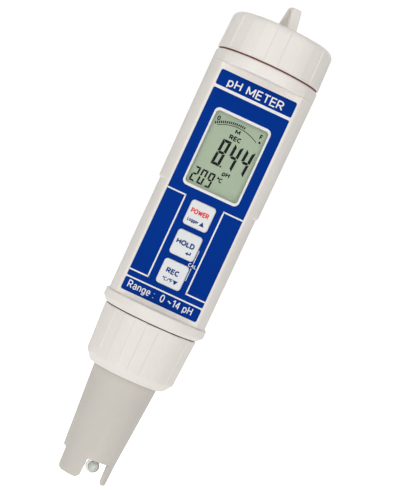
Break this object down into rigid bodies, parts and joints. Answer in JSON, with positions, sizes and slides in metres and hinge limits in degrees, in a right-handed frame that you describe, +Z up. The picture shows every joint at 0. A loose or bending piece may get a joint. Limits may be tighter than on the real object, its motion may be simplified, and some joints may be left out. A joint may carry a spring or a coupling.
{
  "type": "ph meter",
  "caption": "Pen-style pH meter: tubular housing with a display and keys on a flat front, screw battery cap with a lanyard loop, and a plug-in glass electrode under a lock ring.",
  "frame": {"origin": "on the long axis, level with the tips of the electrode's guard prongs", "axes": "+Z up along the long axis to the lanyard loop; the flat front with the display faces -Y; +X to the right of someone who looks at the display"},
  "size_m": [0.04, 0.04, 0.1862],
  "materials": {
    "housing_plastic": "moulded off-white ABS, fine satin grain",
    "electrode_plastic": "moulded warm grey plastic",
    "black_plastic": "moulded black plastic",
    "key_plastic": "pale grey key plastic",
    "overlay_film": "printed blue film, satin",
    "clear_plastic": "clear acrylic",
    "clear_glass": "clear blown glass",
    "display_glass": "grey-green reflective liquid crystal glass",
    "red_rubber": "red-brown rubber",
    "dark_rubber": "dark rubber",
    "elastomer": "grey silicone",
    "circuit_board": "green solder mask",
    "chip_black": "black epoxy package",
    "nickel": "nickel-plated contact sheet",
    "steel": "stainless steel",
    "gold": "gold-plated brass",
    "silver_wire": "silver wire",
    "porous_ceramic": "porous ceramic",
    "cell_sleeve": "printed sleeve of a dry cell, with the density of the cell as a whole",
    "red_insulation": "red wire insulation",
    "black_insulation": "black wire insulation"
  },
  "bodies": {
    "housing": {"amplifier_chip": "chip_black", "base_bridge": "nickel", "base_contact_minus": "nickel", "base_contact_plus": "nickel", "battery_cell_back_left": "cell_sleeve", "battery_cell_back_right": "cell_sleeve", "battery_cell_front_left": "cell_sleeve", "battery_cell_front_right": "cell_sleeve", "battery_holder": "black_plastic", "battery_lead_minus": "black_insulation", "battery_lead_plus": "red_insulation", "battery_spring_back_right": "steel", "battery_spring_front_left": "steel", "board_screw_left": "steel", "board_screw_right": "steel", "cap_seal": "red_rubber", "crystal": "steel", "display_connector_lower": "elastomer", "display_connector_upper": "elastomer", "display_glass": "display_glass", "display_window": "clear_plastic", "front_overlay": "overlay_film", "hold_switch": "nickel", "housing": "housing_plastic", "main_board": "circuit_board", "power_switch": "nickel", "probe_ribbon": "elastomer", "probe_socket": "black_plastic", "processor_chip": "chip_black", "record_switch": "nickel", "ring_seal": "dark_rubber"},
    "contact_disc": {"contact_disc": "black_plastic", "cap_contact_left": "nickel", "cap_contact_right": "nickel"},
    "battery_cap": {"battery_cap": "housing_plastic", "disc_screw": "steel"},
    "electrode": {"electrode_tube": "electrode_plastic", "electrode_plug": "black_plastic", "connector_pins": "gold", "plug_seal": "dark_rubber", "tip_plug": "electrode_plastic", "glass_electrode": "clear_glass", "sensing_wire": "silver_wire", "temperature_sensor": "steel", "reference_junction": "porous_ceramic", "reference_wire": "silver_wire"},
    "lock_ring": {"lock_ring": "housing_plastic"},
    "power_key": {"power_key": "key_plastic"},
    "hold_key": {"hold_key": "key_plastic"},
    "record_key": {"record_key": "key_plastic"}
  },
  "joints": [
    {"name": "contact_disc_lift", "type": "slide", "parent": "housing", "child": "contact_disc", "axis": [0, 0, 1], "range_m": [0, 0.0068]},
    {"name": "battery_cap_turn", "type": "hinge", "parent": "contact_disc", "child": "battery_cap", "pos_m": [0, 0, 0.17], "axis": [0, 0, 1], "range_deg": [0, 810]},
    {"name": "electrode_unplug", "type": "slide", "parent": "housing", "child": "electrode", "axis": [0, 0, -1], "range_m": [0, 0.0068]},
    {"name": "lock_ring_turn", "type": "hinge", "parent": "electrode", "child": "lock_ring", "pos_m": [0, 0, 0.05], "axis": [0, 0, -1], "range_deg": [0, 810]},
    {"name": "power_key_press", "type": "slide", "parent": "housing", "child": "power_key", "axis": [0, 1, 0], "range_m": [0, 0.0004], "stiffness_N_per_m": 20},
    {"name": "hold_key_press", "type": "slide", "parent": "housing", "child": "hold_key", "axis": [0, 1, 0], "range_m": [0, 0.0004], "stiffness_N_per_m": 20},
    {"name": "record_key_press", "type": "slide", "parent": "housing", "child": "record_key", "axis": [0, 1, 0], "range_m": [0, 0.0004], "stiffness_N_per_m": 20}
  ],
  "couplings": [
    {"joint": "contact_disc_lift", "follows": "battery_cap_turn", "m_per_rad": 0.00047746},
    {"joint": "electrode_unplug", "follows": "lock_ring_turn", "m_per_rad": 0.00047746}
  ]
}
